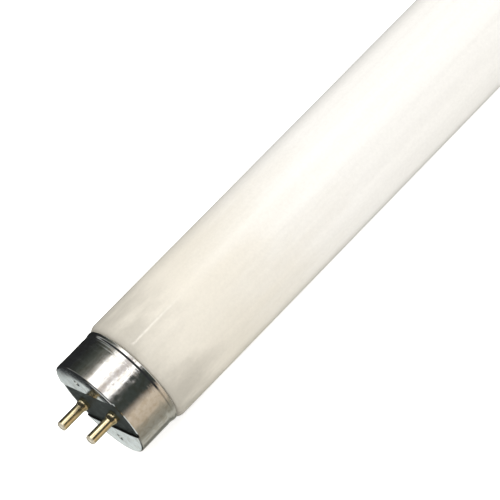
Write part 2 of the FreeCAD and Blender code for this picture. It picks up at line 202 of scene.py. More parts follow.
class TubeCapSettings(bpy.types.PropertyGroup):
    """Sizes and colours of the end caps."""
    face_x: length_prop("Face", "Middle of the tube to the cap's face", high_x("right_cap_shell"))
    length: length_prop(
        "Length", "Face to open edge", high_x("right_cap_shell") - low_x("right_cap_shell"))
    radius: length_prop("Radius", "Outside of the barrel", 12.34 * MM)
    wall: length_prop("Wall", "Sheet thickness, also the depth of the slot", 0.5 * MM)
    edge_radius: length_prop("Edge", "Outer rounding between face and barrel", 0.4 * MM)
    inner_radius: length_prop("Inner edge", "Inner rounding between face and barrel", 0.15 * MM)
    lip_width: length_prop("Lip", "Raised lip along the open edge", 0.75 * MM)
    lip_flare: length_prop("Lip flare", "Slope from the barrel up to the lip", 0.45 * MM)
    lip_height: length_prop("Lip height", "How far the lip stands out", 0.15 * MM)
    lip_radius: length_prop("Lip rounding", "Rounding of the lip at the open edge", 0.25 * MM)
    crown_start: length_prop("Crown start", "Axis to where the face begins to fall off", 9.0 * MM)
    crown_angle: angle_prop("Crown", "Slope of the face where its rounded edge begins", math.radians(6))
    groove_offset: length_prop("Groove offset", "Open edge to the rolled groove", 1.25 * MM)
    groove_width: length_prop("Groove width", "Rolled groove along the barrel", 1.3 * MM)
    groove_depth: length_prop("Groove depth", "Rolled groove, radially", 0.06 * MM)
    slot_width: length_prop("Slot", "Slot across the face", 10.0 * MM)
    slot_chamfer: length_prop("Slot edge", "Broken edge of the slot", 0.07 * MM)
    punch_offset: length_prop("Punch offset", "Edge of the slot to the punch marks", 3.1 * MM)
    punch_radius: length_prop("Punch", "Ball of the punch marks", 1.0 * MM)
    punch_depth: length_prop("Punch depth", "Depth of the punch marks", 0.35 * MM)
    punch_rim: length_prop("Punch rim", "Rim pushed up around the punch marks", 0.02 * MM)
    punch_rim_width: length_prop("Punch rim width", "How far that rim reaches", 0.25 * MM)
    dent_radius: length_prop("Dents", "Small knocks on the barrel", 0.9 * MM)
    dent_depth: length_prop("Dent depth", "Depth of the small knocks", 0.04 * MM)
    waviness: length_prop("Waviness", "Unevenness of the drawn barrel", 0.045 * MM)
    metal: colour_prop("Metal", "Bright drawn sheet", (0.86, 0.86, 0.85))
    face_metal: colour_prop("Face metal", "Pressed face of the cap", (0.80, 0.83, 0.83))
    # Near-black walls of the slot: painted shade in the slot's step.
    cut_edge_shade: colour_prop("Cut edge", "Stained walls of the slot", (0.09, 0.09, 0.085))


class TubePinSettings(bpy.types.PropertyGroup):
    """Sizes and colours of the contact pins."""
    tip_x: length_prop("Tip", "Middle of the tube to the pin tips", high_x("right_front_pin"))
    back_x: length_prop(
        "Riveted end", "Middle of the tube to the back of the pins", low_x("right_front_pin"))
    spacing: length_prop("Spacing", "Between the two pins", 12.7 * MM)
    radius: length_prop("Radius", "Contact pin", 1.15 * MM)
    bore_radius: length_prop("Bore", "Hole for the lead wire", 0.35 * MM)
    tip_radius: length_prop("Tip rounding", "Rounding of the pin tip", 0.55 * MM)
    neck_length: length_prop("Neck", "Taper from the collar down to the pin", 0.8 * MM)
    collar_radius: length_prop("Collar", "Collar at the foot of the pin", 1.45 * MM)
    collar_height: length_prop("Collar height", "Straight part of the collar above the plate", 0.95 * MM)
    collar_ease: length_prop("Collar edge", "Softened edge between collar and neck", 0.2 * MM)
    plate_thickness: length_prop("Plate", "Insulating plate that the pin is riveted to", 1.6 * MM)
    shank_radius: length_prop("Shank", "Pin through the plate", 1.0 * MM)
    rivet_radius: length_prop("Rivet", "Riveted end behind the plate", 1.45 * MM)
    rivet_height: length_prop("Rivet height", "Riveted end behind the plate", 0.5 * MM)
    rivet_rounding: length_prop("Rivet rounding", "Rounding of the riveted end", 0.2 * MM)
    solder_start: length_prop("Solder start", "Tip to where the solder begins", 0.75 * MM)
    solder_full: length_prop("Solder full", "Tip to where the solder covers the brass", 0.05 * MM)
    solder_ragged: length_prop("Solder edge", "Unevenness of the solder's edge", 0.3 * MM)
    brass: colour_prop("Brass", "Polished brass", (0.96, 0.83, 0.53))
    solder: colour_prop("Solder", "Thin dull solder on the tips", (0.97, 0.90, 0.72))


class TubeInnerSettings(bpy.types.PropertyGroup):
    """Colours of the plates and of what lies inside the caps."""
    plate: colour_prop("Plate", "Satin laminated board", (0.024, 0.030, 0.028))
    plate_fleck: colour_prop("Plate fleck", "Paler fibres in the board", (0.13, 0.155, 0.148))
    wire: colour_prop("Lead wire", "Tinned wire", (0.62, 0.60, 0.56))
    cement: colour_prop("Cement", "Baked capping cement", (0.46, 0.34, 0.23))


class TubeStageSettings(bpy.types.PropertyGroup):
    """Camera, floor and light."""
    camera_place: place_prop("Camera", "Where the camera stands", (-0.424402, -0.551932, 0.307645))
    camera_aim: place_prop(
        "Aim", "What the middle of the picture shows", (-0.250771, -0.008942, 0.005919))
    camera_roll: angle_prop("Roll", "Turn of the picture", math.radians(-37.0657))
    lens: FloatProperty(
        name="Lens", description="Focal length on a 36 mm sensor, in millimetres",
        default=225.24, min=1.0, subtype="DISTANCE_CAMERA", unit="CAMERA")
    floor_colour: colour_prop("Floor", "Pale matt floor", (0.95, 0.95, 0.945))
    floor_glow: strength_prop(
        "Floor glow", "Light of the floor in the picture, which leaves only a faint shadow", 0.75)
    floor_bounce: strength_prop("Floor bounce", "Light of the floor on the underside of the tube", 0.08)
    fill: strength_prop("Fill", "Soft light from all around", 0.78)
    fill_colour: colour_prop("Fill colour", "Colour of the soft light", (1.0, 0.99, 0.975))
    key_power: FloatProperty(
        name="Key", description="Soft box above the tube", default=13.2, min=0.0,
        subtype="POWER", unit="POWER")
    key_colour: colour_prop("Key colour", "Colour of the soft box", (1.0, 0.985, 0.96))
    key_place: place_prop("Key place", "Middle of the soft box", (-0.1, -0.54, 1.07))
    key_tilt: angle_prop("Key tilt", "Turn of the soft box towards the tube", math.radians(-27))
    key_length: length_prop("Key length", "Soft box along the tube", 2.0)
    key_width: length_prop("Key width", "Soft box across the tube", 1.5)


class NodeSketch:
    """Short ways to add nodes to a tree."""

    def __init__(self, tree):
        self.tree = tree
        self.tree.nodes.clear()

    def add(self, kind):
        return self.tree.nodes.new(kind)

    def feed(self, socket, value):
        """Link a socket to another one, or set it to a number or a colour."""
        if isinstance(value, bpy.types.NodeSocket):
            self.tree.links.new(value, socket)
        elif isinstance(value, (int, float)):
            socket.default_value = value
        else:
            socket.default_value = (*value, 1.0)

    def noise(self, place, scale, stretch=(1.0, 1.0, 1.0), detail=3.0, roughness=0.55):
        """Noise over a place; scale is in features for each metre."""
        mapping = self.add("ShaderNodeMapping")
        mapping.inputs["Scale"].default_value = stretch
        self.feed(mapping.inputs["Vector"], place)
        texture = self.add("ShaderNodeTexNoise")
        texture.inputs["Scale"].default_value = scale
        texture.inputs["Detail"].default_value = detail
        texture.inputs["Roughness"].default_value = roughness
        self.feed(texture.inputs["Vector"], mapping.outputs["Vector"])
        return texture.outputs[0]

    def remap(self, source, low, high, to_low=0.0, to_high=1.0):
        """Smooth step from one range of values to another."""
        node = self.add("ShaderNodeMapRange")
        node.interpolation_type = "SMOOTHSTEP"
        values = (source, low, high, to_low, to_high)
        for name, value in zip(("Value", "From Min", "From Max", "To Min", "To Max"), values):
            self.feed(node.inputs[name], value)
        return node.outputs["Result"]

    def math(self, operation, first, second=0.0):
        node = self.add("ShaderNodeMath")
        node.operation = operation
        self.feed(node.inputs[0], first)
        self.feed(node.inputs[1], second)
        return node.outputs["Value"]

    def mix(self, factor, first, second, blend="MIX"):
        """Two colours, each a socket or a plain colour, mixed by a factor."""
        node = self.add("ShaderNodeMix")
        node.data_type = "RGBA"
        node.blend_type = blend
        for index, value in ((0, factor), (6, first), (7, second)):
            self.feed(node.inputs[index], value)
        return node.outputs[2]

    def band(self, source, rise, fall):
        """One between a rising and a falling range of values, nothing outside them."""
        return self.math("MULTIPLY", self.remap(source, *rise), self.remap(source, *fall))

    def parts(self, vector):
        """The X, Y and Z of a vector."""
        node = self.add("ShaderNodeSeparateXYZ")
        self.feed(node.inputs["Vector"], vector)
        return node.outputs["X"], node.outputs["Y"], node.outputs["Z"]


class Finish(NodeSketch):
    """One material on the object's own coordinates."""

    def __init__(self, name):
        self.material = bpy.data.materials.new(name)
        self.material.use_nodes = True
        super().__init__(self.material.node_tree)
        self.shader = self.add("ShaderNodeBsdfPrincipled")
        self.feed(self.add("ShaderNodeOutputMaterial").inputs["Surface"], self.shader.outputs["BSDF"])
        self.place = self.add("ShaderNodeTexCoord").outputs["Object"]

    def set(self, **sockets):
        """Values for the shader, each a socket or the same all over."""
        for name, value in sockets.items():
            self.feed(self.shader.inputs[name.replace("_", " ")], value)

    def grain(self, **options):
        return self.noise(self.place, **options)

    def bump(self, height, distance):
        node = self.add("ShaderNodeBump")
        node.inputs["Distance"].default_value = distance
        self.feed(node.inputs["Height"], height)
        self.feed(self.shader.inputs["Normal"], node.outputs["Normal"])


def toned(colour, red, green, blue):
    """A colour with each of its parts made weaker or stronger."""
    return (colour[0] * red, colour[1] * green, colour[2] * blue)


def coated_glass(glass):
    """Clear glossy glass over white powder, greyer towards the caps: partly real end darkening, partly
    painted shade.
    """
    finish = Finish("coated_glass")
    distance = finish.math("ABSOLUTE", finish.parts(finish.place)[0])
    cloud = finish.grain(scale=150.0, stretch=(0.4, 1.0, 1.0), detail=4.0)
    ragged = finish.math("ADD", distance, finish.remap(cloud, 0.3, 0.7, -glass.ragged, glass.ragged))
    # Painted shade mixed with real end darkening: greyer towards the ends, darkest next to the caps
    greyer = finish.remap(ragged, glass.end_x - glass.end_fade, glass.end_x - glass.end_fade / 3)
    darkest = finish.remap(ragged, glass.end_x - glass.cap_shade_fade, glass.end_x - glass.cap_shade_full)
    base = finish.mix(greyer, glass.coating, glass.end_tint_and_shade)
    base = finish.mix(darkest, base, glass.cap_edge_tint_and_shade)
    powder = finish.grain(scale=1500.0, detail=5.0, roughness=0.7)
    streak = finish.grain(scale=420.0, stretch=(0.02, 1.0, 1.0), detail=2.0)
    speckled = finish.remap(powder, 0.25, 0.75, 0.96, 1.02)
    streaked = finish.remap(streak, 0.3, 0.7, 0.975, 1.015)
    runs = finish.math("MULTIPLY", speckled, streaked)
    tone = finish.add("ShaderNodeCombineColor")
    for channel in ("Red", "Green", "Blue"):
        finish.feed(tone.inputs[channel], runs)
    finish.set(
        Base_Color=finish.mix(1.0, base, tone.outputs["Color"], "MULTIPLY"),
        Roughness=finish.remap(powder, 0.2, 0.8, 0.36, 0.48), IOR=1.5, Specular_IOR_Level=0.1,
        Coat_Weight=0.45, Coat_Roughness=0.05, Coat_IOR=1.5)
    finish.bump(powder, 0.006 * MM)
    return finish.material


def drawn_metal(name, colour, smoothest, roughest, lines):
    """Bright sheet with fine lines from drawing, faint stains and light scuffs."""
    finish = Finish(name)
    stain = finish.grain(scale=800.0, detail=4.0)
    scuff = finish.grain(scale=900.0, stretch=lines, detail=4.0, roughness=0.65)
    stained = finish.remap(stain, 0.42, 0.68, 0.0, 0.8)
    finish.set(
        Base_Color=finish.mix(stained, colour, toned(colour, 0.84, 0.80, 0.74)),
        Roughness=finish.remap(scuff, 0.3, 0.72, smoothest, roughest), Metallic=1.0, IOR=1.5)
    finish.bump(scuff, 0.004 * MM)
    return finish.material


def polished_brass(pin):
    """Turned brass with fine lines along the pin, a trace of tarnish and a dull soldered tip."""
    finish = Finish("pin_brass")
    tarnish = finish.grain(scale=700.0, detail=4.0)
    lines = finish.grain(scale=5200.0, stretch=(0.04, 1.0, 1.0), detail=2.0)
    distance = finish.math("ABSOLUTE", finish.parts(finish.place)[0])
    reach = finish.math("ADD", distance, finish.remap(tarnish, 0.3, 0.7, 0.0, pin.solder_ragged))
    tip = finish.remap(reach, pin.tip_x - pin.solder_start, pin.tip_x - pin.solder_full)
    dull = finish.remap(tarnish, 0.5, 0.78, 0.0, 0.6)
    brass = finish.mix(dull, pin.brass, toned(pin.brass, 0.78, 0.70, 0.58))
    polish = finish.remap(lines, 0.3, 0.7, 0.10, 0.22)
    finish.set(
        Base_Color=finish.mix(tip, brass, pin.solder),
        Roughness=finish.math("ADD", polish, finish.math("MULTIPLY", tip, 0.2)),
        Metallic=finish.remap(tip, 0.0, 1.0, 1.0, 0.6), IOR=1.5)
    finish.bump(lines, 0.003 * MM)
    return finish.material


def laminated_board(inner):
    """Dark satin board with pale fibres and a fine pressed grain."""
    finish = Finish("insulating_plate")
    fibre = finish.grain(scale=1700.0, stretch=(1.0, 0.35, 1.0), detail=5.0, roughness=0.7)
    cloud = finish.grain(scale=320.0)
    amount = finish.math(
        "MULTIPLY", finish.remap(fibre, 0.42, 0.72, 0.0, 0.85), finish.remap(cloud, 0.3, 0.7, 0.35, 1.0))
    finish.set(
        Base_Color=finish.mix(amount, inner.plate, inner.plate_fleck),
        Roughness=finish.remap(fibre, 0.3, 0.7, 0.42, 0.58), IOR=1.5, Specular_IOR_Level=0.08)
    finish.bump(fibre, 0.012 * MM)
    return finish.material


def tinned_wire(inner):
    """Dull tinned wire with drawing lines."""
    finish = Finish("lead_wire")
    lines = finish.grain(scale=3800.0, stretch=(0.05, 1.0, 1.0), detail=2.0)
    finish.set(
        Base_Color=finish.mix(lines, inner.wire, toned(inner.wire, 0.7, 0.7, 0.7)),
        Roughness=finish.remap(lines, 0.3, 0.7, 0.26, 0.42), Metallic=1.0, IOR=1.5)
    finish.bump(lines, 0.004 * MM)
    return finish.material


def baked_cement(inner):
    """Matt brown cement with coarse grains."""
    finish = Finish("capping_cement")
    grains = finish.grain(scale=2200.0, detail=5.0, roughness=0.75)
    paler = finish.remap(grains, 0.35, 0.7)
    finish.set(
        Base_Color=finish.mix(paler, inner.cement, toned(inner.cement, 1.5, 1.5, 1.5)),
        Roughness=finish.remap(grains, 0.3, 0.7, 0.78, 0.95), IOR=1.5)
    finish.bump(grains, 0.05 * MM)
    return finish.material


def arc(centre_x, centre_r, radius, first, last, steps):
    """Points (x, r) along an arc of a profile; angles are in degrees from +x towards +r."""
    points = []
    for i in range(steps + 1):
        angle = math.radians(first + (last - first) * i / steps)
        points.append((centre_x + radius * math.cos(angle), centre_r + radius * math.sin(angle)))
    return points


def slope(first, last, last_ease=CORNER_EASE):
    """Points (x, r) along a straight slope of a profile whose two corners are slightly eased."""
    steep = (last[1] - first[1]) / (last[0] - first[0])
    middle = ((first[0] + last[0]) / 2, (first[1] + last[1]) / 2)
    before = [(first[0] - 2 * CORNER_EASE, first[1]), (first[0] - CORNER_EASE, first[1])]
    rising = [(first[0] + CORNER_EASE, first[1] + steep * CORNER_EASE), middle]
    rising.append((last[0] - last_ease, last[1] - steep * last_ease))
    after = [(last[0] + last_ease, last[1]), (last[0] + 2 * last_ease, last[1])]
    return before + rising + after


def join_rings(mesh, first, second):
    """Faces between two rings of vertices; a ring of one vertex is a pole."""
    count = max(len(first), len(second))
    for i in range(count):
        j = (i + 1) % count
        if len(first) == 1:
            mesh.faces.new((first[0], second[j], second[i]))
        elif len(second) == 1:
            mesh.faces.new((first[i], first[j], second[0]))
        else:
            mesh.faces.new((first[i], first[j], second[j], second[i]))


def lathe(profile, steps, axis_y=0.0, closed=False):
    """Turn a profile of (x, r) points about the tube's axis, or about a line beside it."""
    mesh = bmesh.new()
    rings = []
    for x, r in profile:
        if r == 0.0:
            rings.append([mesh.verts.new((x, axis_y, 0.0))])
            continue
        ring = []
        for i in range(steps):
            angle = 2 * math.pi * i / steps
            ring.append(mesh.verts.new((x, axis_y + r * math.cos(angle), r * math.sin(angle))))
        rings.append(ring)
    following = rings[1:] + rings[:1] if closed else rings[1:]
    for first, second in zip(rings, following):
        join_rings(mesh, first, second)
    return mesh


def new_piece(name, mesh, materials, slot, *nodes):
    """Finish a mesh, hand it to the frame and let it stand for its CAD nodes."""
    bmesh.ops.recalc_face_normals(mesh, faces=mesh.faces)
    for face in mesh.faces:
        face.smooth = True
    for edge in mesh.edges:
        edge.smooth = edge.is_manifold and edge.calc_face_angle() < SHARP_ANGLE
    data = bpy.data.meshes.new(name)
    mesh.to_mesh(data)
    mesh.free()
    for material in materials:
        data.materials.append(material)
    piece = bpy.data.objects.new(name, data)
    bpy.context.scene.collection.objects.link(piece)
    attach(piece, BODY)
    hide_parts(*nodes)


def dress_node(node, material):
    """Give a CAD node that keeps its own shape a better material."""
    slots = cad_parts[node].data.materials
    slots.clear()
    slots.append(material)


def glass_profile(glass):
    """Half of the bulb's profile, from the exhaust tip on the axis out to the full radius."""
    rim = glass.rim_radius
    mouth = glass.neck_radius - 2 * rim - glass.rim_flat
    rise = glass.radius - glass.neck_radius
    run = glass.shoulder_length
    bend = run * run / (2 * rise) + rise / 2
    steep = math.degrees(math.asin(run / bend))
    tip = [(glass.exhaust_inset, 0.0)]
    tip += arc(glass.exhaust_inset + glass.exhaust_radius, 0.0, glass.exhaust_radius, 172, 90, steps=8)
    funnel = [(glass.stem_depth, glass.exhaust_radius), (glass.stem_depth, glass.stem_floor_radius)]
    lip = arc(rim, mouth + rim, rim, 270, 180, steps=6)
    lip += arc(rim, glass.neck_radius - rim, rim, 180, 90, steps=6)
    shoulder = arc(glass.neck_length + run, glass.radius - bend, bend, 90 + steep, 90, steps=18)
    straight = [(glass.neck_length + run + CORNER_EASE, glass.radius)]
    return tip + funnel + lip + shoulder + straight


def groove_dip(cap, x):
    """How far the rolled groove lowers the barrel at a distance from the face."""
    start = cap.length - cap.groove_offset - cap.groove_width
    along = (x - start) / cap.groove_width
    if not 0.0 < along < 1.0:
        return 0.0
    return cap.groove_depth * 0.5 * (1.0 - math.cos(2 * math.pi * along))


def crown_edge(cap):
    """Depth and radius at which the slightly domed face meets its rounded edge."""
    radius = cap.radius - cap.edge_radius * (1.0 - math.sin(cap.crown_angle))
    return math.tan(cap.crown_angle) * (radius - cap.crown_start) / 2, radius


def crown_drop(cap, r):
    """Depth of the domed face at a distance from the axis."""
    depth, radius = crown_edge(cap)
    return depth * max(0.0, (r - cap.crown_start) / (radius - cap.crown_start)) ** 2


def cap_rings(cap):
    """Profile of the cap in two lists: its rounded edge above the slot's floor, then the full rings."""
    edge = cap.edge_radius
    shoulder = cap.radius - edge
    bend_x = crown_edge(cap)[0] + edge * math.cos(cap.crown_angle)
    floor_angle = math.degrees(math.acos((bend_x - cap.wall) / edge))
    above = arc(bend_x, shoulder, edge, 180 - math.degrees(cap.crown_angle), 180 - floor_angle, steps=8)
    full = arc(bend_x, shoulder, edge, 180 - floor_angle, 90, steps=10)
    lip_start = cap.length - cap.lip_width
    flare_start = lip_start - cap.lip_flare
    steps = int((flare_start - bend_x) / BARREL_STEP)
    for i in range(1, steps):
        x = bend_x + (flare_start - bend_x) * i / steps
        full.append((x, cap.radius - groove_dip(cap, x)))
    lip_top = cap.radius + cap.lip_height
    full += slope((flare_start, cap.radius), (lip_start, lip_top))
    full.append((cap.length - cap.lip_radius - CORNER_EASE, lip_top))
    full += arc(cap.length - cap.lip_radius, lip_top - cap.lip_radius, cap.lip_radius, 90, 0, steps=8)
    inside = cap.radius - cap.wall
    full += [(cap.length, inside), (cap.length - cap.groove_offset, inside)]
    middle = cap.length - cap.groove_offset - cap.groove_width / 2
    full += [(middle, inside - cap.groove_depth), (middle - cap.groove_width / 2, inside)]
    bend = cap.inner_radius
    full += arc(cap.wall + bend, inside - bend, bend, 90, 180, steps=4)
    return above[:-1], full


def barrel_dent(cap, x, angle):
    """Depth of the small knocks at a distance from the face and an angle about the axis."""
    depth = 0.0
    for dent_x, dent_angle in DENTS:
        aside = (angle - dent_angle + math.pi) % (2 * math.pi) - math.pi
        away = math.hypot(x - dent_x, aside * cap.radius) / cap.dent_radius
        if away < 1.0:
            depth += cap.dent_depth * 0.5 * (1.0 + math.cos(math.pi * away))
    return depth


def barrel_wave(cap, x, r, angle, seed):
    """Radius of the drawn barrel with its slight unevenness, which fades out towards both edges."""
    if r < cap.radius - cap.groove_depth - ROUND_OFF:
        return r
    fade = min(1.0, max(0.0, (x - cap.edge_radius) / WAVE_FADE))
    fade *= min(1.0, max(0.0, (cap.length - x) / WAVE_FADE))
    around = (WAVE_TURNS * math.cos(angle), WAVE_TURNS * math.sin(angle) + seed)
    wave = noise.noise(Vector((x / WAVE_LENGTH, *around)))
    return r + cap.waviness * fade * wave - barrel_dent(cap, x, angle - seed)


def punch_dent(cap, y, z):
    """Depth of the face at a point: the punch mark, with a slight rim pushed up around it."""
    centre = cap.slot_width / 2 + cap.punch_offset
    away = math.hypot(y, abs(z) - centre)
    mouth = math.sqrt(cap.punch_radius ** 2 - (cap.punch_radius - cap.punch_depth) ** 2)
    if away < mouth:
        return math.sqrt(cap.punch_radius ** 2 - away ** 2) - (cap.punch_radius - cap.punch_depth)
    return -cap.punch_rim * math.exp(-((away - mouth) / cap.punch_rim_width) ** 2)


def cap_mesh(cap, way, seed):
    """One cap: two flaps that leave a slot right across the face, round edge, groove and lip."""
    mesh = bmesh.new()
    half = cap.slot_width / 2
    above, full = cap_rings(cap)

    def vert(x, y, z):
        return mesh.verts.new((way * (x - cap.face_x), y, z))

    def flap_angles(r):
        start = math.asin(half / r)
        return [start + (math.pi - 2 * start) * i / FLAP_STEPS for i in range(FLAP_STEPS + 1)]

    def slot_angles(r):
        start = math.asin(half / r)
        return [start * (2 * i / SLOT_STEPS - 1) for i in range(1, SLOT_STEPS)]

    def part_ring(x, r, side, angles):
        verts = []
        for angle in angles:
            turned = angle if side > 0 else angle + math.pi
            reach = barrel_wave(cap, x, r, turned, seed)
            verts.append(vert(x, reach * math.cos(turned), reach * math.sin(turned)))
        return verts

    def strip(first, second, material=BARREL):
        for a, b, c, d in zip(first, first[1:], second[1:], second):
            corners = list(dict.fromkeys((a, b, c, d)))
            if len(corners) > 2:
                mesh.faces.new(corners).material_index = material

    rings = []
    for x, r in full:
        rings.append([
            part_ring(x, r, 1, flap_angles(r)), part_ring(x, r, -1, slot_angles(r)),
            part_ring(x, r, -1, flap_angles(r)), part_ring(x, r, 1, slot_angles(r))])
    loops = [sum(ring, []) for ring in rings]
    for first, second in zip(loops, loops[1:]):
        join_rings(mesh, first, second)

    # Floor of the slot's two ends, on the cut edge of the sheet
    outer, inner = rings[0], rings[-1]
    for part, before, after in ((FRONT_GAP, UPPER, LOWER), (REAR_GAP, LOWER, UPPER)):
        edges = [[ring[before][-1]] + ring[part] + [ring[after][0]] for ring in (outer, inner)]
        strip(edges[0], edges[1])

    # Each flap: rounded edge, face with its punch mark, then the broken edge and the wall of the slot
    for side, part in ((1, UPPER), (-1, LOWER)):
        edge_rings = [part_ring(x, r, side, flap_angles(r)) for x, r in above] + [outer[part]]
        for first, second in zip(edge_rings, edge_rings[1:]):
            strip(first, second)
        rim = edge_rings[0]
        below = inner[part]
        rows = [rim]
        chords = [[], []]
        last = len(rim) - 1
        breadths = [max(0.0, side * v.co.z - half) for v in rim]
        chamfers = [min(cap.slot_chamfer, breadth / 4) for breadth in breadths]
        for row in range(1, FLAP_ROWS + 1):
            line = []
            for i, v in enumerate(rim):
                if i in (0, last):
                    line.append(v)
                    continue
                z = half + breadths[i] + (chamfers[i] - breadths[i]) * row / FLAP_ROWS
                depth = crown_drop(cap, math.hypot(v.co.y, z)) + punch_dent(cap, v.co.y, z)
                line.append(vert(depth, v.co.y, side * z))
            rows.append(line)
        for i, v in enumerate(rim):
            if i in (0, last):
                chords[0].append(v)
                chords[1].append(below[i])
                continue
            depth = crown_drop(cap, math.hypot(v.co.y, half)) + chamfers[i]
            chords[0].append(vert(depth, v.co.y, side * half))
            chords[1].append(vert(cap.wall, v.co.y, side * half))
        for first, second in zip(rows, rows[1:]):
            strip(first, second, FACE)
        strip(rows[-1], chords[0])
        # The slot's wall is coloured near black: painted shade.
        strip(chords[0], chords[1], CUT_SHADE)
        strip(chords[1], below)
        for end in (0, last):
            mesh.faces.new([ring[end] for ring in edge_rings] + [below[end]])
    return mesh


def pin_profile(pin, way):
    """Closed profile of a hollow pin from its rounded tip to its riveted end."""
    total = pin.tip_x - pin.back_x
    plate_back = total - pin.rivet_height
    plate_face = plate_back - pin.plate_thickness
    collar_start = plate_face - pin.collar_height
    neck_start = collar_start - pin.neck_length
    rivet_edge = pin.rivet_rounding
    points = [(0.0, pin.bore_radius)]
    points += arc(pin.tip_radius, pin.radius - pin.tip_radius, pin.tip_radius, 180, 90, steps=10)
    points += [(pin.tip_radius + CORNER_EASE, pin.radius)]
    points += slope((neck_start, pin.radius), (collar_start, pin.collar_radius), pin.collar_ease)
    points += [(plate_face, pin.collar_radius), (plate_face, pin.shank_radius)]
    points += [(plate_back, pin.shank_radius), (plate_back, pin.rivet_radius)]
    points += arc(total - rivet_edge, pin.rivet_radius - rivet_edge, rivet_edge, 90, 0, steps=6)
    points += [(total, pin.bore_radius)]
    return [(way * (x - pin.tip_x), r) for x, r in points]


class TUBE_OT_glass(bpy.types.Operator):
    """Build the sealed glass bulb"""
    bl_idname = "tube.glass"
    bl_label = "Glass"

    def execute(self, context):
        glass = context.scene.tube_glass
        near = [(x - glass.end_x, r) for x, r in glass_profile(glass)]
        far = [(-x, r) for x, r in reversed(near)]
        mesh = lathe(near + far, GLASS_STEPS)
        new_piece("glass", mesh, [coated_glass(glass)], "coated_glass", "glass_tube")
        return {"FINISHED"}


class TUBE_OT_caps(bpy.types.Operator):
    """Build the two drawn metal caps"""
    bl_idname = "tube.caps"
    bl_label = "Caps"

    def execute(self, context):
        cap = context.scene.tube_cap
        barrel = drawn_metal(
            "cap_metal", cap.metal, smoothest=0.06, roughest=0.18, lines=(1.0, 0.12, 0.12))
        face = drawn_metal(
            "cap_face_metal", cap.face_metal, smoothest=0.12, roughest=0.22, lines=(1.0, 1.0, 0.3))
        # Near-black walls of the slot: painted shade.
        cut = drawn_metal(
            "cap_cut_edge_shade", cap.cut_edge_shade, smoothest=0.35, roughest=0.5, lines=(0.3, 1.0, 1.0))
        for end, way in ENDS.items():
            mesh = cap_mesh(cap, way, WAVE_SEEDS[end])
            new_piece(end + "_cap", mesh, [barrel, face, cut], "cap_metal", end + "_cap_shell")
        return {"FINISHED"}


class TUBE_OT_plates(bpy.types.Operator):
    """Finish the insulating plates"""
    bl_idname = "tube.plates"
    bl_label = "Plates"

    def execute(self, context):
        board = laminated_board(context.scene.tube_inner)
        for end in ENDS:
            dress_node(end + "_insulator", board)
        return {"FINISHED"}


class TUBE_OT_pins(bpy.types.Operator):
    """Build the four brass contact pins"""
    bl_idname = "tube.pins"
    bl_label = "Pins"

    def execute(self, context):
        pin = context.scene.tube_pin
        brass = polished_brass(pin)
        for end, way in ENDS.items():
            for side, sign in SIDES.items():
                mesh = lathe(pin_profile(pin, way), PIN_STEPS, sign * pin.spacing / 2, closed=True)
                name = "%s_%s" % (end, side)
                new_piece(name + "_contact", mesh, [brass], "pin_brass", name + "_pin")
        return {"FINISHED"}


class TUBE_OT_inner(bpy.types.Operator):
    """Finish the lead wires and the capping cement"""
    bl_idname = "tube.inner"
    bl_label = "Leads and cement"

    def execute(self, context):
        inner = context.scene.tube_inner
        wire = tinned_wire(inner)
        cement = baked_cement(inner)
        for end in ENDS:
            dress_node(end + "_cement", cement)
            for side in SIDES:
                dress_node("%s_%s_lead" % (end, side), wire)
        return {"FINISHED"}


def stage_floor(stage, level):
    """Wide pale floor under the tube."""
    half = FLOOR_WIDTH / 2
    mesh = bmesh.new()
    corners = ((-half, -half), (half, -half), (half, half), (-half, half))
    mesh.faces.new([mesh.verts.new((x, y, level)) for x, y in corners])
    data = bpy.data.meshes.new("floor")
    mesh.to_mesh(data)
    mesh.free()
    floor = bpy.data.objects.new("floor", data)
    bpy.context.scene.collection.objects.link(floor)
    finish = Finish("pale_floor")
    speckle = finish.grain(scale=60.0, detail=4.0)
    seen = finish.add("ShaderNodeLightPath").outputs["Is Camera Ray"]
    finish.set(
        Base_Color=finish.mix(speckle, stage.floor_colour, toned(stage.floor_colour, 0.99, 0.99, 0.99)),
        Roughness=0.95, Specular_IOR_Level=0.0, Emission_Color=(1.0, 1.0, 1.0),
        Emission_Strength=finish.remap(seen, 0.0, 1.0, stage.floor_bounce, stage.floor_glow))
    data.materials.append(finish.material)
    floor.visible_glossy = False


def in_radians(*degrees):
    return tuple(math.radians(value) for value in degrees)


